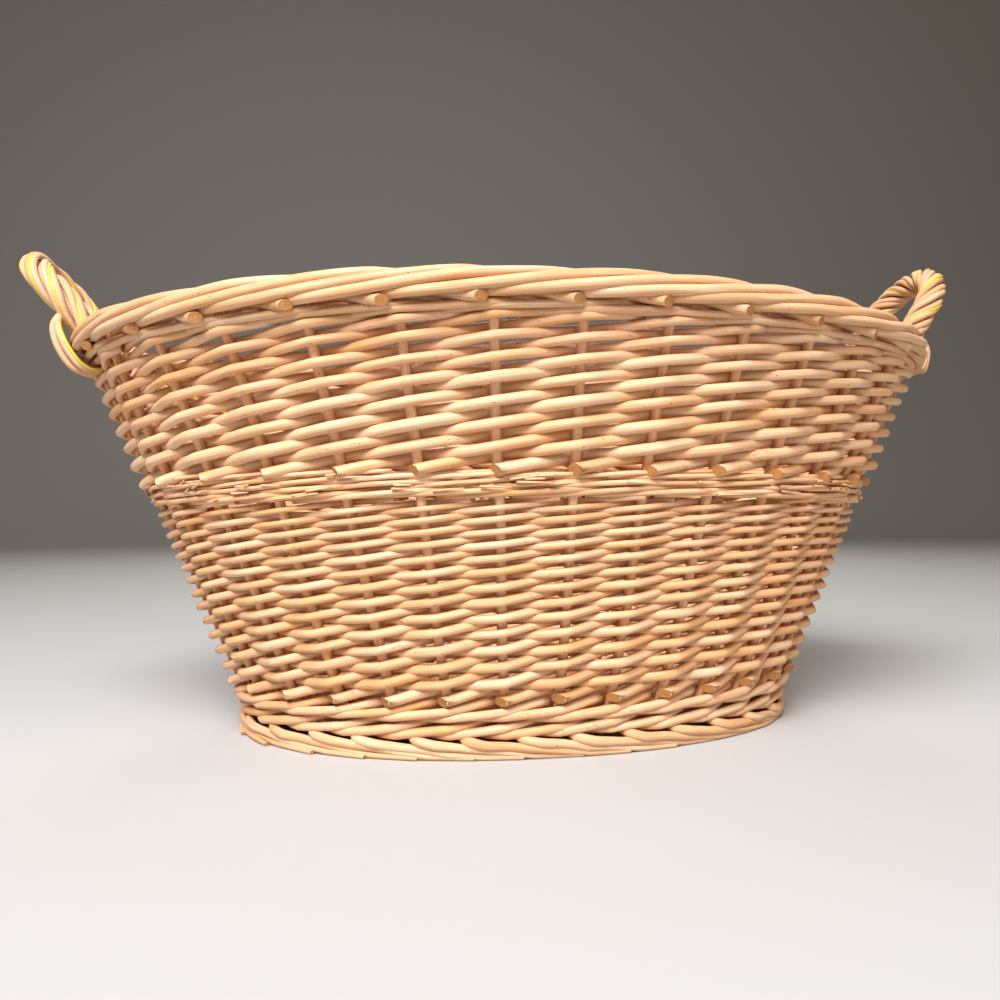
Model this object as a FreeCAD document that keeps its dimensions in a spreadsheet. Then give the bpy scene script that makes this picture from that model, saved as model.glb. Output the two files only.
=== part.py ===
import FreeCAD, Part
import math
import os
from FreeCAD import Placement, Rotation, Vector

# An oval wicker log basket. Millimetres, +Z up, +X along the length towards one handle.
# The origin is on the ground under the middle of the basket.
#
# The wall's middle surface joins a small ellipse on the ground to a large one at the rim.
# Every stake lies in that surface, and every woven band is a ring of even thickness about it,
# with a channel for each stake that passes through it.

DRIVING_DIMENSIONS = {
    "base_half_length": 180,
    "base_half_width": 108,
    "rim_half_length": 288,
    "rim_half_width": 182,
    "wall_height": 264,
    "clearance": 0.3,
    "stake_count": 30,
    "stake_diameter": 6.2,
    "stake_bend": 10,
    "stake_foot_length": 31,
    "floor_low": 7.5,
    "floor_top": 22.5,
    "floor_gap": 10.4,
    "long_stick_count": 3,
    "long_stick_diameter": 6.6,
    "long_stick_pitch": 7.4,
    "short_stick_pairs": 4,
    "short_stick_diameter": 10,
    "stick_end_gap": 2.6,
    "outer_stick_end_gap": 28,
    "foot_top": 15,
    "upsett_top": 35,
    "lower_siding_top": 160,
    "middle_wale_top": 169,
    "upper_siding_top": 248,
    "top_wale_top": 255,
    "border_top": 273,
    "foot_thickness": 20,
    "wale_thickness": 19,
    "lower_siding_thickness": 18,
    "upper_siding_thickness": 20,
    "border_thickness": 23,
    "bow_diameter": 10,
    "bow_leg_depth": 60,
    "handle_half_width": 35,
    "left_handle_rise": 60,
    "left_handle_lean": 43,
    "right_handle_rise": 73,
    "right_handle_lean": 34,
    "handle_corner": 34,
    "handle_root_bend": 40,
    "wrap_diameter": 19,
    "wrap_start": 19.5,
    "twine_diameter": 2.4,
}

doc = FreeCAD.newDocument("wicker_log_basket")
sheet = doc.addObject("Spreadsheet::Sheet", "sizes")
for row, (word, number) in enumerate(DRIVING_DIMENSIONS.items(), start=1):
    sheet.set(f"A{row}", word)
    sheet.set(f"B{row}", str(number))
    sheet.setAlias(f"B{row}", word)
doc.recompute()

STAKE_COUNT = int(sheet.stake_count)
STAKE_RADIUS = sheet.stake_diameter / 2
FLOOR_MIDDLE = (sheet.floor_low + sheet.floor_top) / 2
FRONT_TURN = 0.75
CHANNEL_OVERRUN = 3.5

subparts = []


def add(kind, name, **properties):
    """A new document object with some of its properties set."""
    thing = doc.addObject(kind, name)
    for key, value in properties.items():
        setattr(thing, key, value)
    return thing


def add_shape(name, shape):
    """A document object for a shape made in code."""
    thing = doc.addObject("Part::Feature", name)
    thing.Shape = shape
    return thing


def keep(thing, label):
    """Marks a document object as a sub-part of the basket and gives it its name."""
    thing.Label = label
    subparts.append(thing)
    return thing


# ---------------------------------------------------------------- the wall's middle surface


def wall_oval(name, height, growth):
    """A level ellipse on the wall's middle surface at a height, grown sideways all round."""
    oval = add("Part::Ellipse", name)
    for radius, direction in (("MajorRadius", "length"), ("MinorRadius", "width")):
        base = f"sizes.base_half_{direction}"
        spread = f"(sizes.rim_half_{direction} - {base}) * ({height}) / sizes.wall_height"
        oval.setExpression(radius, f"{base} + {spread} + ({growth})")
    oval.setExpression("Placement.Base.z", height)
    return oval


def wall_frustum(name, low, high, growth):
    """The solid inside the wall's middle surface between two heights, grown sideways."""
    ovals = [wall_oval(f"{name}_{end}", height, growth) for end, height in (("low", low), ("high", high))]
    return add("Part::Loft", name, Sections=ovals, Solid=True, Ruled=True)


def point_on_oval(half_length, half_width, turn):
    """The point at a share of the way round a ground-level ellipse, counted from +X."""
    edge = Part.Ellipse(Vector(0, 0, 0), half_length, half_width).toShape()
    return edge.valueAt(edge.getParameterByLength(turn % 1 * edge.Length))


def stake_line(turn):
    """Where a stake's line meets the ground and where it ends inside the border."""
    foot = point_on_oval(sheet.base_half_length, sheet.base_half_width, turn)
    tip = point_on_oval(sheet.rim_half_length, sheet.rim_half_width, turn)
    return foot, tip + Vector(0, 0, sheet.wall_height)


def stake_elbow(turn):
    """The point where a stake turns up, level with the middle of the floor."""
    foot, tip = stake_line(turn)
    return foot + (tip - foot) * (FLOOR_MIDDLE / sheet.wall_height)


def foot_direction(turn):
    """The level direction from a stake's elbow into the floor, square to its edge."""
    foot = point_on_oval(sheet.base_half_length, sheet.base_half_width, turn)
    outward = Vector(foot.x / sheet.base_half_length**2, foot.y / sheet.base_half_width**2, 0)
    return outward.normalize() * -1


# ---------------------------------------------------------------- bent rods


def bent_rod(points, bend_radii, radius, longer=0):
    """A round rod along straight runs joined by tangent arcs, each end made longer by some amount."""
    points = list(points)
    points[0] = points[0] + (points[0] - points[1]).normalize() * longer
    points[-1] = points[-1] + (points[-1] - points[-2]).normalize() * longer
    edges = []
    start = points[0]
    for before, corner, after, bend in zip(points, points[1:], points[2:], bend_radii):
        back = (before - corner).normalize()
        ahead = (after - corner).normalize()
        half_turn = (math.pi - back.getAngle(ahead)) / 2
        reach = bend * math.tan(half_turn)
        cut = bend / math.cos(half_turn) - bend
        arc_points = (corner + back * reach, corner + (back + ahead).normalize() * cut, corner + ahead * reach)
        edges.append(Part.LineSegment(start, arc_points[0]).toShape())
        edges.append(Part.Arc(*arc_points).toShape())
        start = arc_points[2]
    edges.append(Part.LineSegment(start, points[-1]).toShape())
    profile = Part.Wire([Part.Circle(points[0], points[1] - points[0], radius).toShape()])
    return Part.Wire(edges).makePipeShell([profile], True, False)


# ---------------------------------------------------------------- stakes


def stake_shape(index, radius, longer=0):
    """A stake: its foot lies in the floor, and it turns up and leans out to the border."""
    turn = FRONT_TURN + index / STAKE_COUNT
    elbow = stake_elbow(turn)
    points = [elbow + foot_direction(turn) * sheet.stake_foot_length, elbow, stake_line(turn)[1]]
    return bent_rod(points, [sheet.stake_bend], radius, longer)


def make_stakes():
    """The stakes, numbered from the middle of the front, and the channels that they leave."""
    for index in range(STAKE_COUNT):
        name = f"stake_{index + 1:02d}"
        keep(add_shape(f"{name}_rod", stake_shape(index, STAKE_RADIUS)), name)
    channel_radius = STAKE_RADIUS + sheet.clearance
    channels = [stake_shape(index, channel_radius, sheet.clearance) for index in range(STAKE_COUNT)]
    return add_shape("stake_channels", Part.makeCompound(channels))


# ---------------------------------------------------------------- floor


def stick(name, diameter, length):
    """A straight stick standing on the origin, its sizes given as expressions."""
    rod = add("Part::Cylinder", name)
    rod.setExpression("Radius", f"({diameter}) / 2")
    rod.setExpression("Height", length)
    return rod


def lay_stick(rod, along_x, across, length):
    """Lays a stick level through the middle of the floor, at some distance from the centre line."""
    if along_x:
        rod.Placement = Placement(Vector(-length / 2, across, FLOOR_MIDDLE), Rotation(Vector(0, 1, 0), 90))
    else:
        rod.Placement = Placement(Vector(across, -length / 2, FLOOR_MIDDLE), Rotation(Vector(1, 0, 0), -90))
    return rod


def floor_half_chord(along_x, across):
    """Half the floor's width through a line at some distance from the centre line."""
    rise = FLOOR_MIDDLE / sheet.wall_height
    spread_x = (sheet.rim_half_length - sheet.base_half_length) * rise
    spread_y = (sheet.rim_half_width - sheet.base_half_width) * rise
    half_x = sheet.base_half_length + spread_x - sheet.floor_gap
    half_y = sheet.base_half_width + spread_y - sheet.floor_gap
    chord, side = (half_x, half_y) if along_x else (half_y, half_x)
    return chord * math.sqrt(1 - (across / side) ** 2)


def make_stick(name, diameter_word, along_x, across, end_gap):
    """A base stick and the channel that it leaves in the woven floor."""
    length = 2 * (floor_half_chord(along_x, across) - end_gap)
    rod = lay_stick(stick(f"{name}_rod", f"sizes.{diameter_word}", str(length)), along_x, across, length)
    wide = f"sizes.{diameter_word} + 2 * sizes.clearance"
    length += 2 * CHANNEL_OVERRUN
    channel = lay_stick(stick(f"{name}_channel", wide, str(length)), along_x, across, length)
    return rod, channel


def make_long_sticks():
    """The long base sticks, side by side. The outer ones stop short of the feet of the end stakes."""
    channels = []
    middle = (sheet.long_stick_count + 1) / 2
    for number in range(1, int(sheet.long_stick_count) + 1):
        name = f"long_base_stick_{number}"
        across = (number - middle) * sheet.long_stick_pitch
        end_gap = sheet.outer_stick_end_gap if across else sheet.stick_end_gap
        rod, channel = make_stick(name, "long_stick_diameter", True, across, end_gap)
        keep(rod, name)
        channels.append(channel)
    return channels


def short_stick_places():
    """Places along X midway between the feet of neighbouring stakes, on both sides of the middle."""
    depth = (sheet.floor_gap + sheet.stake_foot_length) / 2
    places = []
    for index in range(int(sheet.short_stick_pairs) + 1):
        turn = FRONT_TURN + index / STAKE_COUNT
        places.append((stake_elbow(turn) + foot_direction(turn) * depth).x)
    right = [(a + b) / 2 for a, b in zip(places, places[1:])]
    return [-x for x in reversed(right)] + right


def make_short_sticks():
    """The short base sticks, each with a slit in its middle that the long sticks pass through."""
    channels = []
    for number, across in enumerate(short_stick_places(), start=1):
        name = f"short_base_stick_{number}"
        rod, channel = make_stick(name, "short_stick_diameter", False, across, sheet.stick_end_gap)
        slit = add("Part::Box", f"{name}_slit")
        slit.setExpression("Length", "2 * sizes.short_stick_diameter")
        reach = "(sizes.long_stick_count - 1) * sizes.long_stick_pitch + sizes.long_stick_diameter"
        slit.setExpression("Width", f"{reach} + 2 * sizes.clearance")
        slit.setExpression("Height", "sizes.long_stick_diameter + 2 * sizes.clearance")
        slit.setExpression("Placement.Base.x", f"{across} - Length / 2 / 1mm")
        slit.setExpression("Placement.Base.y", "-Width / 2")
        slit.setExpression("Placement.Base.z", f"{FLOOR_MIDDLE} - Height / 2 / 1mm")
        keep(add("Part::Cut", f"{name}_split", Base=rod, Tool=slit), name)
        channels.append(channel)
    return channels


def make_floor(stake_channels):
    """The woven floor, with channels for the base sticks and for the feet of the stakes."""
    blank = wall_frustum("floor_blank", "sizes.floor_low", "sizes.floor_top", "-sizes.floor_gap")
    links = make_long_sticks() + make_short_sticks() + [stake_channels]
    channels = add("Part::Compound", "floor_channels", Links=links)
    keep(add("Part::Cut", "floor_cut", Base=blank, Tool=channels), "base_weave")


# ---------------------------------------------------------------- woven bands


def make_band(label, low, high, thickness_word, channels):
    """A woven ring about the wall's middle surface, with a channel for each rod through it."""
    half = f"sizes.{thickness_word} / 2"
    outer = wall_frustum(f"{label}_outer", low, high, half)
    inner = wall_frustum(f"{label}_inner", low, high, f"-{half}")
    ring = add("Part::Cut", f"{label}_ring", Base=outer, Tool=inner)
    return keep(add("Part::Cut", f"{label}_band", Base=ring, Tool=channels), label)


def make_bands(stake_channels, upper_channels):
    """The bands from the ground up. Each starts just above the one below it."""
    bands = (
        ("foot_border", "foot_top", "foot_thickness", stake_channels),
        ("upsett_wale", "upsett_top", "wale_thickness", stake_channels),
        ("lower_siding", "lower_siding_top", "lower_siding_thickness", stake_channels),
        ("middle_wale", "middle_wale_top", "wale_thickness", stake_channels),
        ("upper_siding", "upper_siding_top", "upper_siding_thickness", upper_channels),
        ("top_wale", "top_wale_top", "wale_thickness", upper_channels),
        ("rim_border", "border_top", "border_thickness", upper_channels),
    )
    low = "0"
    for label, top_word, thickness_word, channels in bands:
        make_band(label, low, f"sizes.{top_word}", thickness_word, channels)
        low = f"sizes.{top_word} + sizes.clearance"


# ---------------------------------------------------------------- handles


def rise_and_lean(side):
    """A handle's reach from inside the border and its lean outwards: the left one is lower and leans more."""
    if side < 0:
        return sheet.left_handle_rise, math.radians(sheet.left_handle_lean)
    return sheet.right_handle_rise, math.radians(sheet.right_handle_lean)


def handle_point(side, across, along):
    """A point of the handle's leaning plane: across it in Y, and along it from inside the border."""
    lean = rise_and_lean(side)[1]
    root = sheet.rim_half_length * math.sqrt(1 - (sheet.handle_half_width / sheet.rim_half_width) ** 2)
    x = root + along * math.sin(lean)
    return Vector(side * x, across, sheet.wall_height + along * math.cos(lean))


def leg_end(side, across):
    """The lower end of a bow's leg, pushed down beside a stake along the slope of the wall."""
    slope = (sheet.rim_half_length - sheet.base_half_length) / sheet.wall_height
    root = handle_point(side, across, 0)
    return root - Vector(side * slope, 0, 1) * sheet.bow_leg_depth


def arch_points(side, half_width, start, rise):
    """Corners of a handle's arch, from one leg over the top to the other."""
    corners = ((-half_width, start), (-half_width, rise), (half_width, rise), (half_width, start))
    return [handle_point(side, across, along) for across, along in corners]


def bow_shape(side, radius, longer=0):
    """The bow: one thick rod, both ends pushed down into the wall."""
    half_width = sheet.handle_half_width
    rise = rise_and_lean(side)[0]
    arch = arch_points(side, half_width, 0, rise)
    points = [leg_end(side, -half_width)] + arch + [leg_end(side, half_width)]
    bends = [sheet.handle_root_bend, sheet.handle_corner, sheet.handle_corner, sheet.handle_root_bend]
    return bent_rod(points, bends, radius, longer)


def wrap_shape(side):
    """The rods twisted round the bow, as one sleeve of their outer size."""
    rise = rise_and_lean(side)[0]
    points = arch_points(side, sheet.handle_half_width, sheet.wrap_start, rise)
    bends = [sheet.handle_corner] * 2
    bore_radius = sheet.bow_diameter / 2 + sheet.clearance
    sleeve = bent_rod(points, bends, sheet.wrap_diameter / 2)
    return sleeve.cut(bent_rod(points, bends, bore_radius, longer=1))


def twine_shape(side):
    """The strand of twine along the outside of the handle's wrapping."""
    outside = (sheet.wrap_diameter + sheet.twine_diameter) / 2 + sheet.clearance
    half_width = sheet.handle_half_width + outside
    rise = rise_and_lean(side)[0]
    points = arch_points(side, half_width, sheet.wrap_start, rise + outside)
    bends = [sheet.handle_corner + outside] * 2
    return bent_rod(points, bends, sheet.twine_diameter / 2)


def make_handles():
    """Both handles, and the channels that their bows leave in the wall."""
    channels = []
    for name, side in (("left_handle", -1), ("right_handle", 1)):
        bow_radius = sheet.bow_diameter / 2
        pieces = {"bow": bow_shape(side, bow_radius), "wrap": wrap_shape(side), "twine": twine_shape(side)}
        for piece, shape in pieces.items():
            keep(add_shape(f"{name}_{piece}_rod", shape), f"{name}_{piece}")
        channel = bow_shape(side, bow_radius + sheet.clearance, sheet.clearance)
        channels.append(add_shape(f"{name}_channel", channel))
    return channels


# ---------------------------------------------------------------- assembly and export


stake_channels = make_stakes()
make_floor(stake_channels)
bow_channels = make_handles()
upper_channels = add("Part::Compound", "upper_channels", Links=[stake_channels] + bow_channels)
make_bands(stake_channels, upper_channels)
doc.recompute()

for thing in doc.Objects:
    if "Invalid" in thing.State or "Error" in thing.State:
        raise RuntimeError(f"{thing.Name} did not compute: {thing.State}")

os.makedirs("parts", exist_ok=True)
for piece in subparts:
    shape = piece.Shape
    if shape.isNull() or not shape.isValid() or not shape.Solids:
        raise RuntimeError(f"{piece.Label} has no valid solid")
    print(f"{piece.Label}: {len(shape.Solids)} solid, {shape.Volume / 1000:.1f} cm3")
for piece in subparts:
    piece.Shape.exportStep(f"parts/{piece.Label}.step")
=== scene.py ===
import math

import bpy
import numpy as np
from mathutils import Matrix, Vector


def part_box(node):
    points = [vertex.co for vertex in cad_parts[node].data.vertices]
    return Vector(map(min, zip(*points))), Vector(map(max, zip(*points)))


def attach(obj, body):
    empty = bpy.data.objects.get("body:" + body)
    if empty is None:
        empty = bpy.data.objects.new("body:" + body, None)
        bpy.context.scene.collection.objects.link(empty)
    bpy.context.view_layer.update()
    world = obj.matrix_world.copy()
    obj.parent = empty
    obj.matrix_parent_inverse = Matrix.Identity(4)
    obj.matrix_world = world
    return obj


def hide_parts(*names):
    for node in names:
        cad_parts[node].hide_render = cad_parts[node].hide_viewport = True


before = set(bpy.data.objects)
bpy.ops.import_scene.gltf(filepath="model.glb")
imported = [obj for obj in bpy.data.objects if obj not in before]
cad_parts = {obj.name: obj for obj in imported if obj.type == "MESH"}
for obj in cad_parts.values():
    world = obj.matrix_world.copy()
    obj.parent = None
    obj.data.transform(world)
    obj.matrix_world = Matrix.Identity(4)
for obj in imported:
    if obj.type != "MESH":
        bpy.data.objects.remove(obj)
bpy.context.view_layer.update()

# A wicker log basket. Every willow rod is a swept tube of its own, woven about the wall's middle
# surface that the CAD bands share. Metres, +Z up, the broad front faces -Y.

MM = 0.001
STAKES = sum(name.startswith("stake_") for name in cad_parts)
FRONT = 0.75  # the share of a turn, counted from +X, where stake 0 stands
SAMPLES = 6  # path points from one stake to the next
BORDER_SAMPLES = 12  # the same for the borders, whose rods bend more sharply
SIDES = 10  # corners of a siding rod's section
THICK_SIDES = 12  # and of a stake's, border rod's or bow's

rng = np.random.default_rng(20)


# ---------------------------------------------------------------- sizes read from the frame

FOOT_THICKNESS = 20 * MM
BORDER_THICKNESS = 23 * MM
RIM_DIP = 10 * MM
STAKE_RADIUS = 3.1 * MM

foot_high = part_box("foot_border")[1]
border_low, border_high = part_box("rim_border")
foot_half = np.array(foot_high[:2]) - FOOT_THICKNESS / 2
rim_half = np.array(border_high[:2]) - BORDER_THICKNESS / 2
FOOT_TOP = foot_high[2]
BORDER_TOP = border_high[2]
BORDER_BASE = border_low[2]
floor_low, floor_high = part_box("base_weave")
FLOOR_MIDDLE = (floor_low[2] + floor_high[2]) / 2
LOW_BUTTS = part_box("lower_siding")[0][2]
MIDDLE_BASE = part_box("middle_wale")[0][2]
HIGH_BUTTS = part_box("upper_siding")[0][2]
TOP_WALE_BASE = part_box("top_wale")[0][2]

slope = (rim_half - foot_half) / (BORDER_TOP - FOOT_TOP)
ground_half = foot_half - slope * FOOT_TOP


# ---------------------------------------------------------------- the wall's middle surface


OVAL_POINTS = 4097
NEAR = 0.02  # stake spaces to either side of a point, to measure the wall's direction there


def oval_table(half_length, half_width):
    """Points round an ellipse and the share of its length at each, counted from +X."""
    angle = np.linspace(0, 2 * np.pi, OVAL_POINTS)
    x, y = half_length * np.cos(angle), half_width * np.sin(angle)
    length = np.concatenate([[0], np.cumsum(np.hypot(np.diff(x), np.diff(y)))])
    return x, y, length / length[-1]


ground_oval = oval_table(*ground_half)
rim_oval = oval_table(*rim_half)


def on_oval(oval, turn):
    """The point at a share of the way round an oval."""
    x, y, share = oval
    turn = np.mod(turn, 1)
    return np.interp(turn, share, x), np.interp(turn, share, y)


def middle(u, z):
    """The wall's middle surface at stake number u (a fraction lies between two stakes), height z."""
    u, z = np.broadcast_arrays(np.asarray(u, float), np.asarray(z, float))
    turn = FRONT + u / STAKES
    gx, gy = on_oval(ground_oval, turn)
    rx, ry = on_oval(rim_oval, turn)
    rise = z / BORDER_TOP
    x, y = gx + (rx - gx) * rise, gy + (ry - gy) * rise
    dip = RIM_DIP * rise * (x / rim_half[0]) ** 2
    return np.stack([x, y, z - dip], -1)


def wall(u, z, out):
    """A point out from the wall's middle surface, square to it. out is positive outside the basket."""
    around = middle(np.asarray(u) + NEAR, z) - middle(np.asarray(u) - NEAR, z)
    up = middle(u, np.asarray(z) + MM) - middle(u, np.asarray(z) - MM)
    normal = np.cross(around, up)
    normal /= np.linalg.norm(normal, axis=-1, keepdims=True)
    out = np.broadcast_to(np.asarray(out, float), normal.shape[:-1])
    return middle(u, z) + normal * out[..., None]


def smooth_noise(count, step, size):
    """A slow random wander, one value per path point."""
    knots = rng.normal(0, size, max(4, int(count / step) + 4))
    return np.interp(np.linspace(0, len(knots) - 1, count), np.arange(len(knots)), knots)


# ---------------------------------------------------------------- rods as swept tubes


class Rods:
    """A bundle of round rods that becomes one mesh. Material 0 is the long side and 1 the cut ends."""

    def __init__(self):
        self.verts, self.faces, self.cuts, self.grain, self.tone = [], [], [], [], []
        self.count = 0

    def add(self, path, radius, sides=SIDES, slant=(0, 0), facing=None):
        """Sweeps a rod along a path. slant leans each end's cut so that it faces along facing."""
        path = np.asarray(path, float)
        n = len(path)
        radius = np.broadcast_to(np.asarray(radius, float), n)
        tone = rng.random()
        tangent = np.gradient(path, axis=0)
        tangent /= np.linalg.norm(tangent, axis=1, keepdims=True)
        side = np.empty_like(path)
        start = np.cross(tangent[0], (0, 0, 1.0))
        if np.linalg.norm(start) < 0.2:
            start = np.cross(tangent[0], (1.0, 0, 0))
        for i in range(n):
            start = start - tangent[i] * np.dot(start, tangent[i])
            start /= np.linalg.norm(start)
            side[i] = start
        other = np.cross(tangent, side)
        angle = np.linspace(0, 2 * np.pi, sides, endpoint=False)
        c, s = np.cos(angle), np.sin(angle)
        ring = side[:, None] * c[:, None] + other[:, None] * s[:, None]
        points = path[:, None] + ring * radius[:, None, None]
        if facing is not None:
            for end, lean in ((0, slant[0]), (-1, slant[1])):
                reach = (ring[end] @ facing) * radius[end]
                points[end] += tangent[end] * (reach * lean)[:, None]
        step = np.linalg.norm(np.diff(path, axis=0), axis=1)
        length = np.concatenate([[0], np.cumsum(step)])
        grain = np.stack(np.broadcast_arrays(length[:, None], c[None], s[None]), -1).reshape(-1, 3)
        base = self.count
        index = base + np.arange(n * sides).reshape(n, sides)
        a, b = index[:-1], index[1:]
        quads = np.stack([a, np.roll(a, -1, 1), np.roll(b, -1, 1), b], -1).reshape(-1, 4)
        ends = np.stack([points[0].mean(0), points[-1].mean(0)])
        first, last = base + n * sides, base + n * sides + 1
        fan0 = np.stack([np.full(sides, first), np.roll(index[0], -1), index[0]], -1)
        fan1 = np.stack([np.full(sides, last), index[-1], np.roll(index[-1], -1)], -1)
        self.verts.append(np.concatenate([points.reshape(-1, 3), ends]))
        self.grain.append(np.concatenate([grain, [[0, 0, 0], [length[-1], 0, 0]]]))
        self.tone.append(np.full(n * sides + 2, tone))
        self.faces.append(quads)
        self.cuts.append(np.concatenate([fan0, fan1]))
        self.count += n * sides + 2

    def build(self, name, materials, nodes):
        """Makes the Blender object, with the rods' grain and tone as attributes.

        nodes lists the CAD nodes that it replaces.
        """
        verts = np.concatenate(self.verts)
        quads, cuts = np.concatenate(self.faces), np.concatenate(self.cuts)
        mesh = bpy.data.meshes.new(name)
        mesh.from_pydata(verts.tolist(), [], quads.tolist() + cuts.tolist())
        grain = mesh.attributes.new("grain", "FLOAT_VECTOR", "POINT")
        grain.data.foreach_set("vector", np.concatenate(self.grain).astype(np.float32).ravel())
        tone = mesh.attributes.new("tone", "FLOAT", "POINT")
        tone.data.foreach_set("value", np.concatenate(self.tone).astype(np.float32))
        slots = np.concatenate([np.zeros(len(quads), np.int32), np.ones(len(cuts), np.int32)])
        mesh.polygons.foreach_set("material_index", slots)
        mesh.polygons.foreach_set("use_smooth", (slots == 0))
        mesh.update()
        for material in materials:
            mesh.materials.append(material)
        piece = bpy.data.objects.new(name, mesh)
        bpy.context.scene.collection.objects.link(piece)
        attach(piece, "root")
        if nodes:
            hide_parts(*nodes)


# ---------------------------------------------------------------- materials


class Nodes:
    """A short way to write a material's node tree."""

    def __init__(self, name):
        self.material = bpy.data.materials.new(name)
        self.material.use_nodes = True
        self.tree = self.material.node_tree
        self.shader = self.tree.nodes["Principled BSDF"]

    def node(self, kind, **settings):
        made = self.tree.nodes.new(kind)
        for key, value in settings.items():
            if key in made.inputs:
                made.inputs[key].default_value = value
            else:
                setattr(made, key, value)
        return made

    def link(self, source, target):
        self.tree.links.new(source, target)

    def attribute(self, name, output):
        return self.node("ShaderNodeAttribute", attribute_name=name).outputs[output]

    def math(self, operation, a, b=None):
        made = self.node("ShaderNodeMath", operation=operation)
        for socket, value in zip(made.inputs, (a, b)):
            if value is None:
                continue
            if isinstance(value, (int, float)):
                socket.default_value = value
            else:
                self.link(value, socket)
        return made.outputs[0]

    def noise(self, vector, w, scale, detail=3.0, roughness=0.55):
        made = self.node("ShaderNodeTexNoise", noise_dimensions="4D", Scale=scale, Detail=detail)
        made.inputs["Roughness"].default_value = roughness
        self.link(vector, made.inputs["Vector"])
        if w is not None:
            self.link(w, made.inputs["W"])
        return made.outputs["Fac"]

    def stretch(self, vector, factors):
        made = self.node("ShaderNodeVectorMath", operation="MULTIPLY")
        made.inputs[1].default_value = factors
        self.link(vector, made.inputs[0])
        return made.outputs[0]

    def ramp(self, factor, stops):
        made = self.node("ShaderNodeValToRGB")
        while len(made.color_ramp.elements) < len(stops):
            made.color_ramp.elements.new(0.5)
        for element, (place, colour) in zip(made.color_ramp.elements, stops):
            element.position = place
            element.color = (*colour, 1)
        self.link(factor, made.inputs[0])
        return made.outputs[0]

    def mix(self, factor, a, b, blend="MIX"):
        made = self.node("ShaderNodeMix", data_type="RGBA", blend_type=blend)
        for socket, value in ((made.inputs[0], factor), (made.inputs[6], a), (made.inputs[7], b)):
            if isinstance(value, (int, float)):
                socket.default_value = value
            elif isinstance(value, tuple):
                socket.default_value = (*value, 1)
            else:
                self.link(value, socket)
        return made.outputs[2]

    def bump(self, height, strength, distance):
        made = self.node("ShaderNodeBump", Strength=strength, Distance=distance)
        self.link(height, made.inputs["Height"])
        self.link(made.outputs[0], self.shader.inputs["Normal"])


# Colours of peeled, boiled willow, and of its stains and specks.
CREAM = (0.83, 0.62, 0.41)
TAN = (0.71, 0.395, 0.165)
PEACH = (0.79, 0.485, 0.30)
BROWN = (0.40, 0.18, 0.06)
DARK = (0.085, 0.035, 0.014)


def willow(name, shade=1.0, brown=0.0, roughness=0.48):
    """Buff willow: a tone per rod, long grain streaks, blotches, stains and dark specks."""
    m = Nodes(name)
    grain, tone = m.attribute("grain", "Vector"), m.attribute("tone", "Fac")
    w = m.math("MULTIPLY", tone, 61.0)  # each rod gets a pattern of its own
    scaled = [tuple(c * shade for c in colour) for colour in (TAN, PEACH, CREAM)]
    base = m.ramp(tone, [(0.0, scaled[0]), (0.4, scaled[1]), (0.75, scaled[2]), (1.0, scaled[0])])
    blotch = m.noise(m.stretch(grain, (26.0, 0.5, 0.5)), w, 1.0, 2.0)
    light = m.mix(0.55, base, m.ramp(blotch, [(0.32, scaled[0]), (0.5, scaled[1]), (0.68, scaled[2])]))
    streak = m.noise(m.stretch(grain, (22.0, 3.2, 3.2)), w, 1.6, 4.0, 0.65)
    streaks = m.ramp(streak, [(0.40, (0, 0, 0)), (0.75, (0.55 + brown,) * 3)])
    streaked = m.mix(streaks, light, BROWN)
    stain = m.noise(m.stretch(grain, (9.0, 0.9, 0.9)), w, 1.0, 3.0, 0.6)
    stains = m.ramp(stain, [(0.56 - brown, (0, 0, 0)), (0.8, (0.5,) * 3)])
    stained = m.mix(stains, streaked, BROWN)
    spots = m.node("ShaderNodeTexVoronoi", voronoi_dimensions="4D", Scale=1.0)
    m.link(m.stretch(grain, (420.0, 2.2, 2.2)), spots.inputs["Vector"])
    m.link(w, spots.inputs["W"])
    gate = m.math("GREATER_THAN", m.noise(m.stretch(grain, (55.0, 0.8, 0.8)), w, 1.0, 1.0), 0.59)
    speck = m.math("MULTIPLY", m.math("LESS_THAN", spots.outputs["Distance"], 0.24), gate)
    m.link(m.mix(m.math("MULTIPLY", speck, 0.72), stained, DARK), m.shader.inputs["Base Color"])
    rough = m.ramp(streak, [(0.3, (roughness - 0.08,) * 3), (0.75, (roughness + 0.18,) * 3)])
    m.link(rough, m.shader.inputs["Roughness"])
    m.shader.inputs["Specular IOR Level"].default_value = 0.42
    fine = m.noise(m.stretch(grain, (60.0, 7.0, 7.0)), w, 2.0, 3.0, 0.6)
    height = m.math("SUBTRACT", m.math("ADD", fine, streak), m.math("MULTIPLY", speck, 1.5))
    m.bump(height, 0.55, 0.35 * MM)
    return m.material


def cut_willow():
    """A sawn or knife-cut end: orange-tan wood with a rough, paler pith."""
    m = Nodes("cut_willow")
    place = m.node("ShaderNodeTexCoord").outputs["Object"]
    rough = m.noise(place, None, 900.0, 4.0, 0.7)
    broad = m.noise(place, None, 260.0, 2.0)
    wood = m.ramp(rough, [
        (0.30, (0.15, 0.055, 0.018)), (0.48, (0.46, 0.22, 0.075)), (0.70, (0.64, 0.38, 0.16)),
    ])
    m.link(m.mix(broad, wood, (0.42, 0.20, 0.07)), m.shader.inputs["Base Color"])
    m.shader.inputs["Roughness"].default_value = 0.85
    m.bump(rough, 0.8, 0.5 * MM)
    return m.material


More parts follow.
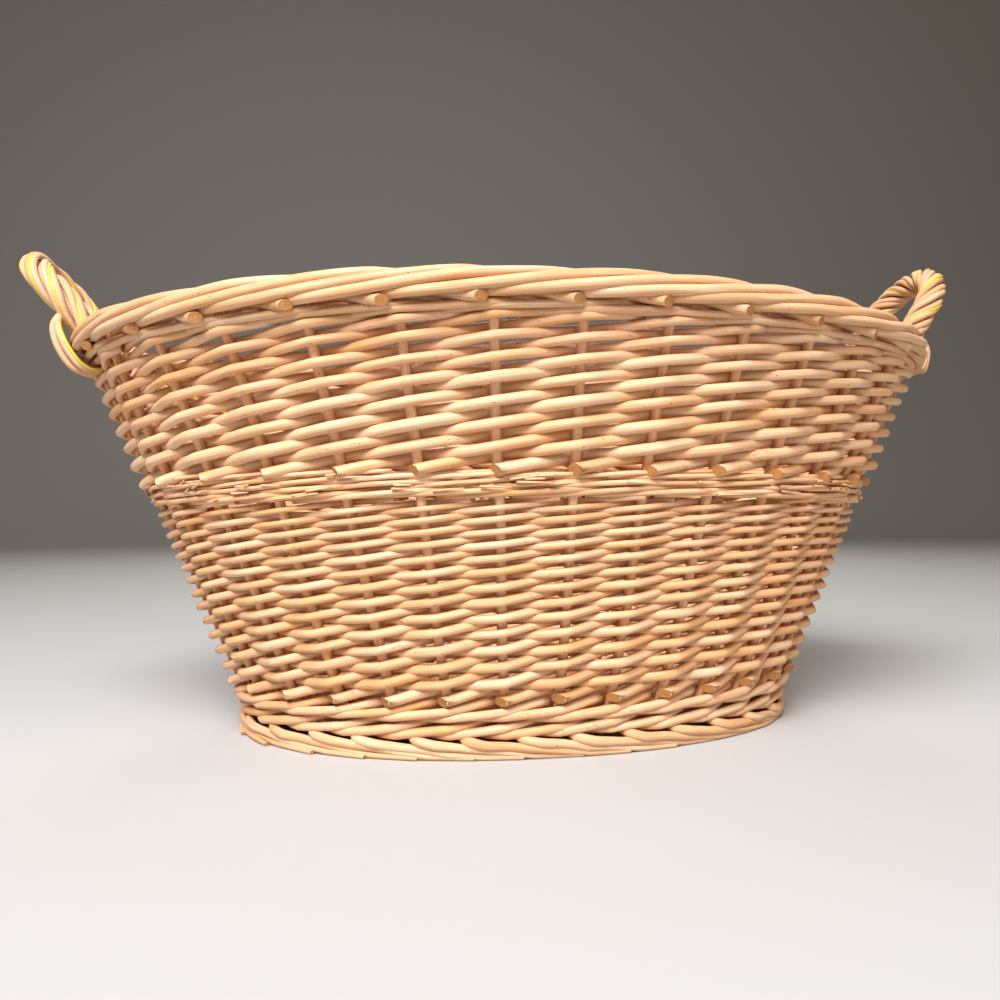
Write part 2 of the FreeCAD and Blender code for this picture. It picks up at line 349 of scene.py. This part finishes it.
def twine_yellow():
    """Bright yellow split-film twine: fine ribs along it, slightly worn."""
    m = Nodes("yellow_twine")
    grain, tone = m.attribute("grain", "Vector"), m.attribute("tone", "Fac")
    ribs = m.noise(m.stretch(grain, (30.0, 5.0, 5.0)), tone, 2.0, 3.0)
    colour = m.ramp(ribs, [
        (0.3, (0.50, 0.33, 0.02)), (0.5, (0.70, 0.51, 0.045)), (0.75, (0.80, 0.66, 0.14)),
    ])
    m.link(colour, m.shader.inputs["Base Color"])
    m.shader.inputs["Roughness"].default_value = 0.38
    m.bump(ribs, 0.6, 0.3 * MM)
    return m.material


SIDING = willow("siding_willow")
THICK = willow("thick_willow", shade=0.96, brown=0.06)
# Painted light: the stakes' willow is made lighter (shade 1.1) to stand in for the light that the
# stakes catch between the thin strands.
STAKE = willow("stake_willow", shade=1.1, roughness=0.55)
BASE = willow("base_willow", shade=0.88, brown=0.08, roughness=0.6)
TIPS = willow("tip_willow", shade=1.08)
# Painted shade: the handles' willow is made darker (shade 0.86) to stand in for less light falling on
# the handles.
HANDLE = willow("handle_willow_painted_shade", shade=0.86, brown=0.05, roughness=0.55)
CUT = cut_willow()
TWINE = twine_yellow()


# ---------------------------------------------------------------- stakes


STAKE_LEG = (31 * MM, 9 * MM)  # how far inside the wall a stake's leg starts and ends in the floor
STAKE_POINTS = 24  # path points in the rising part


def make_stakes():
    """Each stake starts in the floor, bends up and leans out to the border."""
    for index in range(STAKES):
        foot = wall(index, FLOOR_MIDDLE, 0)
        inward = wall(index, FLOOR_MIDDLE, -MM) - foot
        inward[2] = 0
        inward /= np.linalg.norm(inward)
        leg = foot + inward * np.linspace(*STAKE_LEG, 4)[:, None]
        bend = [foot + inward * 4.5 * MM + (0, 0, 1 * MM), foot + inward * 1.6 * MM + (0, 0, 4.5 * MM)]
        heights = np.linspace(FLOOR_MIDDLE + 10 * MM, BORDER_BASE + 5 * MM, STAKE_POINTS)
        drift = smooth_noise(STAKE_POINTS, 8, 0.012)
        rise = wall(index + drift, heights, smooth_noise(STAKE_POINTS, 6, 0.35 * MM))
        path = np.concatenate([leg, bend, rise])
        taper = np.linspace(1.05, 0.93, len(path))
        radius = STAKE_RADIUS * (1 + smooth_noise(len(path), 5, 0.03)) * taper
        rods = Rods()
        rods.add(path, radius, sides=THICK_SIDES)
        name = f"stake_{index + 1:02d}"
        rods.build(f"{name}_willow", (STAKE, CUT), [name])


# ---------------------------------------------------------------- woven bands


SAG_LOW = 0.6 * MM  # how much lower a rod runs inside the stakes than outside, at the foot
SAG_HIGH = 3.0 * MM  # the same at the border
CLIMB_LEAD = 0.35 * MM  # a rod climbs ahead on its way in and lags on its way out
PACKED = 0.32  # the share that a rod is thicker inside the stakes, packed against its neighbours


def woven_band(name, node, start, sizes, tightness, in_front, first, last, materials,
               trim=0.0, wander=0.25 * MM, slant=(0.5, -0.8), butt=0.0):
    """One rod per stake, each starting at its own stake and working upwards to the right.

    sizes lists (step, diameter). A rod climbs its own diameter over tightness in each step, and
    in_front says whether it passes outside the stake at a step. It runs from step first to step
    last, less a random share of trim. butt is how far its thick cut end reaches back past first.
    """
    rods = Rods()
    steps, diameters = np.array(sizes).T
    knots = np.arange(math.ceil(last) + 1)
    thick = np.interp(knots, steps, diameters)
    climb = np.concatenate([[0], np.cumsum((thick[:-1] + thick[1:]) / 2)]) / tightness
    for k in range(STAKES):
        s = np.arange(first, last - trim * rng.random(), 1 / SAMPLES)
        swing = side_of_stake(s, in_front)
        if butt:
            s, swing = np.concatenate([[first - butt], s]), np.concatenate([[swing[0]], swing])
        diameter = np.interp(s, steps, diameters) * (1 + rng.normal(0, 0.04))
        out = swing * (STAKE_RADIUS + diameter / 2) + smooth_noise(len(s), 5, wander * 0.6)
        z = start + np.interp(s, knots, climb) + np.minimum(s, 0) * thick[0] / tightness
        sag = np.interp(z, [FOOT_TOP, BORDER_BASE], [SAG_LOW, SAG_HIGH])
        coming_out = (side_of_stake(s + 0.5, in_front) - side_of_stake(s - 0.5, in_front)) / 2
        z -= sag * (1 - swing) / 2 + CLIMB_LEAD * coming_out
        z += smooth_noise(len(s), 7, wander) + rng.normal(0, 0.3 * MM)
        path = wall(k + s, z, out)
        bumps = 1 + smooth_noise(len(s), 3, 0.03) + PACKED * ((1 - swing) / 2) ** 2
        rods.add(path, diameter / 2 * bumps, slant=slant, facing=outward_at(k + s[0], z[0]))
    rods.build(name, materials, [node])


def outward_at(u, z):
    """The direction square out of the wall."""
    out = wall(u, z, 10 * MM) - wall(u, z, 0)
    return out / np.linalg.norm(out)


def side_of_stake(s, in_front):
    """+1 outside and -1 inside at each stake, easing from one to the other between stakes."""
    below = np.floor(s).astype(int)
    share = s - below
    here = np.array([1.0 if in_front(i) else -1.0 for i in below])
    there = np.array([1.0 if in_front(i + 1) else -1.0 for i in below])
    ease = 0.85 * share + 0.15 * (1 - np.cos(np.pi * share)) / 2
    return here + (there - here) * ease


def every_other(step):
    return step % 2 == 0


def two_of_three(step):
    return step % 3 != 2


SPLINTERS = 110  # round the whole basket


def make_splinters(count, low, high):
    """Thin slivers that stand off the tips and cut ends in the middle of the wall."""
    rods = Rods()
    for _ in range(count):
        u, z = rng.uniform(0, STAKES), rng.uniform(low, high)
        length, climb = rng.uniform(0.12, 0.5), rng.normal(1.0 * MM, 1.2 * MM)
        t = np.linspace(0, 1, 5)
        path = wall(u + length * t, z + climb * t, (6.6 + 2.2 * t * rng.random()) * MM)
        rods.add(path, np.linspace(0.9, 0.35, 5) * MM, sides=5)
    rods.build("middle_splinters", (TIPS, CUT), [])


def make_siding():
    """The two French rands and the wales above and below them."""
    thin_start = MIDDLE_BASE - 3 * MM
    before = -5 / SAMPLES  # a wale's rod starts behind the stake before its own
    woven_band("upsett_weave", "upsett_wale", FOOT_TOP + 1.8 * MM, [(0, 5.6 * MM), (5, 5.0 * MM)], 1.6,
               two_of_three, before, 5.0, (SIDING, CUT))
    woven_band("lower_weave", "lower_siding", LOW_BUTTS + 1.5 * MM,
               [(0, 6.3 * MM), (24, 3.85 * MM), (29, 2.8 * MM)], 1.145,
               every_other, 0, 29, (SIDING, CUT),
               trim=2.5, slant=(1.25, -0.8), butt=0.06)
    woven_band("middle_weave", "middle_wale", thin_start, [(0, 3.3 * MM), (11, 2.2 * MM)], 2.0,
               two_of_three, before, 11, (TIPS, CUT),
               trim=3.5, wander=0.5 * MM)
    woven_band("upper_weave", "upper_siding", HIGH_BUTTS + 1.5 * MM,
               [(0, 6.5 * MM), (15, 5.1 * MM)], 1.045,
               every_other, 0, 15, (SIDING, CUT),
               trim=0.8, slant=(0.9, -0.8), butt=0.04)
    woven_band("top_weave", "top_wale", TOP_WALE_BASE + 5.2 * MM, [(0, 4.6 * MM), (3, 4.4 * MM)], 3.0,
               two_of_three, before, 2.3, (THICK, CUT))
    make_splinters(SPLINTERS, thin_start, HIGH_BUTTS)


# ---------------------------------------------------------------- foot and rim borders


def spline(keys, values, at):
    """Smooth curve through key values (cubic pieces on uneven keys)."""
    keys, values = np.asarray(keys, float), np.asarray(values, float)
    tangent = np.gradient(values, keys)
    i = np.clip(np.searchsorted(keys, at, side="right") - 1, 0, len(keys) - 2)
    h = keys[i + 1] - keys[i]
    t = (at - keys[i]) / h
    start = (2 * t**3 - 3 * t**2 + 1) * values[i] + (t**3 - 2 * t**2 + t) * tangent[i] * h
    end = (-2 * t**3 + 3 * t**2) * values[i + 1] + (t**3 - t**2) * tangent[i + 1] * h
    return start + end


def border_rods(name, node, base, route, radius, end_radius, slant, jitter, stiff=0.0):
    """One rod per stake, all on the same route: (stake spaces, out, up), the last two in millimetres.

    stiff is how far a rod keeps straight on past STIFF_FROM, off the oval's curve.
    """
    rods = Rods()
    keys, out, up = np.array(route).T
    for k in range(STAKES):
        s = np.linspace(keys[0], keys[-1], int((keys[-1] - keys[0]) * BORDER_SAMPLES) + 1)
        o = spline(keys, out, s) * MM + smooth_noise(len(s), 8, BORDER_WANDER)
        z = base + spline(keys, up, s) * MM + smooth_noise(len(s), 8, BORDER_WANDER)
        path = wall(k + s + rng.normal(0, jitter), z, o)
        taper = np.linspace(radius * 1.03, end_radius, len(s)) * (1 + smooth_noise(len(s), 6, 0.025))
        bend = np.searchsorted(s, STIFF_FROM)
        ahead = path[bend, :2] - path[bend - 2, :2]
        ahead /= np.linalg.norm(ahead)
        length = np.linalg.norm(path[bend:, :2] - path[bend, :2], axis=1)
        path[bend:, :2] += stiff * (path[bend, :2] + ahead * length[:, None] - path[bend:, :2])
        path[:, 2] = np.maximum(path[:, 2], taper * CLEAR_OF_GROUND)
        rods.add(path, taper * (1 + rng.normal(0, 0.015)), sides=THICK_SIDES, slant=slant,
                 facing=outward_at(k + s[-1], z[-1]))
    rods.build(name, (THICK, CUT), [node])


BORDER_WANDER = 0.3 * MM
STIFF_FROM = 0.2  # stake spaces
CLEAR_OF_GROUND = 1.05  # lowest height of a rod's middle line, in radii

# Stake spaces from the rod's own stake, millimetres out from the wall's middle, millimetres up.
RIM_ROUTE = [
    (0.0, 0.0, -4.0), (0.12, -1.0, 2.0), (0.6, -5.5, 4.5), (1.1, -7.0, 5.5), (1.55, -1.5, 4.6),
    (2.0, 6.8, 5.6), (3.0, 8.8, 9.6), (3.7, 7.4, 13.2), (4.3, 3.4, 15.2), (4.9, -2.6, 14.2),
    (5.5, -7.0, 10.2), (6.1, -7.0, 6.2), (6.42, -1.5, 4.6), (6.66, 6.0, 3.6), (6.86, 10.8, 2.9),
]
FOOT_ROUTE = [
    (-2.2, -5.5, 10.0), (-1.6, -6.0, 12.6), (-1.04, -5.6, 14.2), (-0.8, 0.5, 14.4),
    (-0.66, 6.8, 13.4), (-0.5, 8.6, 12.6), (0.1, 9.2, 10.4), (0.75, 9.4, 7.8),
    (1.4, 9.5, 5.2), (2.0, 9.6, 3.2), (2.45, 9.6, 2.2),
]


def make_borders():
    """The foot that the basket stands on and the thick border round the rim."""
    border_rods("rim_plait", "rim_border", BORDER_BASE, RIM_ROUTE, 3.0 * MM, 2.9 * MM,
                slant=(0.2, -1.0), jitter=0.025)
    border_rods("foot_plait", "foot_border", 0.0, FOOT_ROUTE, 4.0 * MM, 1.3 * MM,
                slant=(0.2, -0.6), jitter=0.04, stiff=0.22)


# ---------------------------------------------------------------- floor


INNER_ROUND = np.array([120 * MM, 15 * MM])  # half sizes
FLOOR_ROUNDS = 19
FLOOR_RADIUS = 2.35 * MM
STICK_POINTS = 26


def floor_point(q, angle):
    """A point on one round of the floor's weave, q from 0 inside to 1 outside."""
    outer = ground_half + slope * FLOOR_MIDDLE - 10 * MM
    half_length, half_width = INNER_ROUND + (outer - INNER_ROUND) * q
    power = 2 + 2.5 * (1 - q) ** 2  # the inner rounds have squarer corners
    c, s = np.cos(angle), np.sin(angle)
    x = half_length * np.sign(c) * np.abs(c) ** (2 / power)
    y = half_width * np.sign(s) * np.abs(s) ** (2 / power)
    return x, y


def make_base_sticks():
    """Three long sticks through the slits of the short ones, each with its own mesh."""
    for name in sorted(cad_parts):
        if "base_stick" not in name:
            continue
        low, high = np.array(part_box(name)[0]), np.array(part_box(name)[1])
        centre, size = (low + high) / 2, high - low
        axis = int(np.argmax(size))
        radius = np.sort(size)[0] / 2
        path = np.tile(centre, (STICK_POINTS, 1))
        path[:, axis] = np.linspace(low[axis], high[axis], STICK_POINTS)
        from_centre = path[:, axis] - centre[axis]
        swell = 1 + 0.10 * np.exp(-(from_centre / (16 * MM)) ** 2) * ("short" in name)
        rods = Rods()
        rods.add(path, radius * swell * (1 + smooth_noise(STICK_POINTS, 5, 0.02)), sides=14)
        rods.build(f"{name}_willow", (BASE, CUT), [name])


def make_floor():
    """Rounds of thin rods over and under the base sticks, from the middle out."""
    rods = Rods()
    boxes = [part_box(name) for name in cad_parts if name.startswith("short_base")]
    short = sorted((low[0] + high[0]) / 2 for low, high in boxes)
    half_bay = 40 * MM  # where the rounds pass the ends of the long sticks
    for ring in range(FLOOR_ROUNDS):
        angle = np.linspace(0, 2 * np.pi, 320, endpoint=False) + ring * 0.35
        x, y = floor_point(ring / (FLOOR_ROUNDS - 1), angle)
        over = np.where(y > 0, 1, -1) * np.cos(np.pi * np.interp(x, short, np.arange(len(short))))
        over_end = -np.sign(x) * np.cos(np.pi * y / half_bay) * np.where(np.abs(y) < half_bay, 1, 0)
        over = np.where(np.abs(x) > short[-1] + 14 * MM, over_end, over)
        kernel = np.hanning(9) / np.hanning(9).sum()
        over = np.convolve(np.concatenate([over[-4:], over, over[:4]]), kernel, "valid")
        lift = (4.6 * MM + FLOOR_RADIUS) * np.clip(over * 1.25, -1, 1) * (1 if ring % 2 else -1)
        z = FLOOR_MIDDLE + lift + smooth_noise(len(x), 20, 0.2 * MM)
        path = np.stack([x, y, z], -1)
        path = np.concatenate([path, path[:3]])
        rods.add(path, FLOOR_RADIUS * (1 + smooth_noise(len(path), 12, 0.05)), sides=8)
    rods.build("floor_weave", (BASE, CUT), ["base_weave"])


# ---------------------------------------------------------------- handles


BOW_RADIUS = 5 * MM
STRAND_RADIUS = 2.3 * MM
STRANDS = 8
TWINE_RADIUS = 1.3 * MM
TWINE_SIDES = 8
ROOT_DEPTH = 12 * MM  # how far below the border's top a handle's loop starts
END_OVERLAP = 6 * MM  # and how far its rods go on below that


def handle_path(label, side, count=120):
    """The middle line of one handle's loop from leg to leg, and the distance along it."""
    low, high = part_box(f"{label}_bow")
    half_width = high[1] - BOW_RADIUS
    root_height = BORDER_TOP - ROOT_DEPTH
    root_x = rim_half[0] * math.sqrt(1 - (half_width / rim_half[1]) ** 2) - slope[0] * ROOT_DEPTH
    reach = max(-low[0], high[0]) - BOW_RADIUS - root_x
    rise = math.hypot(reach, high[2] - BOW_RADIUS - root_height)
    lean = math.asin(reach / rise)
    straight = rise - half_width
    arc = math.pi * half_width
    total = 2 * straight + arc
    d = np.linspace(-END_OVERLAP, total + END_OVERLAP, count)
    turn = np.clip((d - straight) / half_width, 0, math.pi)
    across = -half_width * np.cos(turn)
    along = np.where(d > straight + arc, total - d, straight + half_width * np.sin(turn))
    along = np.where(d < straight, d, along)
    x = side * (root_x + along * math.sin(lean))
    z = root_height + along * math.cos(lean)
    return np.stack([x, across, z], -1), d


def twisted(centre, distance, radius, phase, pitch):
    """A path wound round a middle line."""
    tangent = np.gradient(centre, axis=0)
    tangent /= np.linalg.norm(tangent, axis=1, keepdims=True)
    plane = np.cross(centre[0] - centre[len(centre) // 2], centre[-1] - centre[len(centre) // 2])
    plane /= np.linalg.norm(plane)
    inward = np.cross(tangent, plane)
    angle = phase + 2 * np.pi * distance / pitch
    turned = np.cos(angle)[:, None] * plane + np.sin(angle)[:, None] * inward
    return centre + turned * np.asarray(radius)[..., None]


# A lashing rod at each of its eight turning points: how far out from the wall's middle, how much
# further a slack one stands off, both in millimetres, and the share of its sideways drift.
LASH_OUT = [6, 13, 15, 12, 3, -11.5, -14.5, -6]
LASH_BULGE = [0, 6, 8, 7, 1, 0, 0, 0]
LASH_DRIFT = [0.1, 0.3, 0.75, 1, 1, 1, 0.7, 0.25]
# Side by side on each leg: sideways drift in millimetres, and slackness.
LASH_RODS = [(-8, 0.1), (-3.5, 0.9), (1.5, 0.5), (6, 0.2)]


def end_of_oval(side):
    """The stake number of the oval's end on one side."""
    return (0.25 if side > 0 else 0.75) * STAKES


def lashing(rods, side, across, spread, bulge, radius, reach, stop=7.0):
    """One rod that comes down outside the border, goes under it and rises inside beside the bow.

    reach is the height of its lowest point over the foot of the border, in millimetres, and stop
    is the turning point that it ends at.
    """
    up = [31, 24, 10, reach + 6, reach, reach + 4, 5, 22]
    keys = np.arange(8.0)
    at = np.linspace(0, stop, 40)
    drift = spline(keys, LASH_DRIFT, at) * spread
    out = (spline(keys, LASH_OUT, at) + spline(keys, LASH_BULGE, at) * bulge) * MM
    perimeter = 2 * np.pi * math.sqrt((rim_half[0] ** 2 + rim_half[1] ** 2) / 2)
    u = end_of_oval(side) + (across + drift) * STAKES / perimeter * side
    rods.add(wall(u, BORDER_BASE + spline(keys, up, at) * MM, out), radius)


def make_handle(label, side, pitch, valleys, reach, fullness):
    """A bow, the rods twisted round it, their lashing round the border, and the yellow twine.

    pitch is the length of one turn of the twist and valleys the grooves that hold twine. reach is
    the lashing's lowest point and fullness how slack it is.
    """
    centre, distance = handle_path(label, side)
    half_width = abs(centre[0][1])
    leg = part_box(f"{label}_bow")[0][2]
    ends = []
    for end in (centre[0], centre[-1]):
        drop = np.linspace(0, end[2] - leg - 3 * MM, 8)[1:, None]
        ends.append(end + drop * np.array([-side * slope[0], 0, -1.0]))
    bow = Rods()
    bow.add(np.concatenate([ends[0][::-1], centre, ends[1]]), BOW_RADIUS * 0.98, sides=THICK_SIDES)
    bow.build(f"{label}_core", (THICK, CUT), [f"{label}_bow"])

    wrap = Rods()
    lay_radius = BOW_RADIUS + STRAND_RADIUS * 0.93
    for strand in range(STRANDS):
        phase = 2 * np.pi * (strand + (0.12 if strand % 2 else -0.12)) / STRANDS
        wobble = lay_radius + smooth_noise(len(distance), 12, 0.35 * MM)
        path = twisted(centre, distance, wobble, phase, pitch)
        wrap.add(path, STRAND_RADIUS * (1 + smooth_noise(len(distance), 14, 0.06)))
    for across in (-half_width, half_width):
        for spread, bulge in LASH_RODS:
            lashing(wrap, side, across, spread * MM, bulge * fullness, STRAND_RADIUS * 0.98, reach)
    wrap.build(f"{label}_twist", (HANDLE, CUT), [f"{label}_wrap"])

    twine = Rods()
    for valley in valleys:
        phase = 2 * np.pi * (valley + 1.5) / STRANDS
        along = lay_radius + 1.0 * MM + smooth_noise(len(distance), 10, 0.3 * MM)
        twine.add(twisted(centre, distance, along, phase, pitch), TWINE_RADIUS, sides=TWINE_SIDES)
    lashing(twine, side, -half_width, -11 * MM, -0.1, 1.0 * MM, reach)
    lashing(twine, side, -half_width, 4 * MM, -0.1, TWINE_RADIUS, reach, stop=5.0)
    tail = np.linspace(0, 1, 30)
    tail_u = end_of_oval(side) + side * (1.2 + 1.4 * tail)
    tail_z = BORDER_BASE - (6 + 34 * tail + 3 * np.sin(tail * 14)) * MM
    twine.add(wall(tail_u, tail_z, -11.5 * MM), TWINE_RADIUS, sides=TWINE_SIDES)
    twine.build(f"{label}_yellow", (TWINE, TWINE), [f"{label}_twine"])


# ---------------------------------------------------------------- camera, floor and light

CAMERA_TARGET = Vector((-0.0142, 0, 0.1535))
CAMERA_DISTANCE = 0.630
CAMERA_ELEVATION = math.radians(-0.44)
CAMERA_YAW = math.radians(10.1)
CAMERA_ROLL = math.radians(-0.3)
CAMERA_FOCUS = 0.8695  # focal length as a share of the picture's width
SENSOR_WIDTH = 36  # millimetres


def make_camera():
    """A level view of the broad front, a little from the left."""
    camera = bpy.data.objects.new("camera", bpy.data.cameras.new("camera"))
    bpy.context.scene.collection.objects.link(camera)
    ahead = Vector((
        math.sin(CAMERA_YAW) * math.cos(CAMERA_ELEVATION),
        math.cos(CAMERA_YAW) * math.cos(CAMERA_ELEVATION),
        -math.sin(CAMERA_ELEVATION),
    ))
    right = Vector((math.cos(CAMERA_YAW), -math.sin(CAMERA_YAW), 0))
    up = right.cross(ahead)
    right, up = (
        math.cos(CAMERA_ROLL) * right + math.sin(CAMERA_ROLL) * up,
        math.cos(CAMERA_ROLL) * up - math.sin(CAMERA_ROLL) * right,
    )
    turn = Matrix((right, up, -ahead)).transposed()
    camera.matrix_world = Matrix.Translation(CAMERA_TARGET - ahead * CAMERA_DISTANCE) @ turn.to_4x4()
    camera.data.sensor_width = SENSOR_WIDTH
    camera.data.lens = SENSOR_WIDTH * CAMERA_FOCUS
    camera.data.clip_start = 0.01
    bpy.context.scene.camera = camera


LIGHT_TARGET = Vector((0, 0, 0.15))


def make_stage():
    """A pale floor that curves up into a backdrop far behind the basket."""
    quarter = np.linspace(0, np.pi / 2, 16)
    curve = [(3.0 + 2.0 * math.sin(a), 2.0 - 2.0 * math.cos(a)) for a in quarter]
    profile = [(-6.0, 0.0), *curve, (5.0, 6.0)]  # (y, z)
    verts = [(x, y, z) for y, z in profile for x in (-9.0, 9.0)]
    faces = [(2 * i, 2 * i + 1, 2 * i + 3, 2 * i + 2) for i in range(len(profile) - 1)]
    mesh = bpy.data.meshes.new("stage")
    mesh.from_pydata(verts, [], faces)
    mesh.polygons.foreach_set("use_smooth", [True] * len(faces))
    paint = bpy.data.materials.new("stage_paint")
    paint.use_nodes = True
    shader = paint.node_tree.nodes["Principled BSDF"]
    shader.inputs["Base Color"].default_value = (0.46, 0.46, 0.455, 1)
    shader.inputs["Roughness"].default_value = 0.9
    mesh.materials.append(paint)
    stage = bpy.data.objects.new("stage", mesh)
    bpy.context.scene.collection.objects.link(stage)


def area_light(name, place, size, watts, colour):
    """A square lamp that looks at the middle of the basket."""
    lamp = bpy.data.objects.new(name, bpy.data.lights.new(name, "AREA"))
    lamp.data.size = size
    lamp.data.energy = watts
    lamp.data.color = colour
    lamp.location = place
    lamp.rotation_euler = (LIGHT_TARGET - Vector(place)).to_track_quat("-Z", "Y").to_euler()
    bpy.context.scene.collection.objects.link(lamp)


def make_lights():
    """Soft studio light, the key from the upper left in front."""
    area_light("key", (-0.7, -1.5, 1.9), size=1.3, watts=98, colour=(0.98, 0.98, 1.0))
    area_light("fill", (1.6, -1.8, 1.0), size=1.2, watts=9, colour=(1.0, 0.96, 0.92))
    area_light("back", (0.4, 1.9, 1.6), size=1.2, watts=16, colour=(1.0, 0.98, 0.95))
    world = bpy.data.worlds.new("studio")
    world.use_nodes = True
    background = world.node_tree.nodes["Background"]
    background.inputs["Color"].default_value = (1.0, 0.80, 0.62, 1)
    background.inputs["Strength"].default_value = 0.17
    bpy.context.scene.world = world
    bpy.context.scene.view_settings.view_transform = "Standard"
    bpy.context.scene.view_settings.look = "Medium High Contrast"


make_stakes()
make_siding()
make_borders()
make_base_sticks()
make_floor()
make_handle("left_handle", -1, pitch=95 * MM, valleys=(0, 2, 4, 6), reach=-11, fullness=0.55)
make_handle("right_handle", 1, pitch=66 * MM, valleys=(0, 4), reach=1, fullness=0.4)
make_camera()
make_stage()
make_lights()
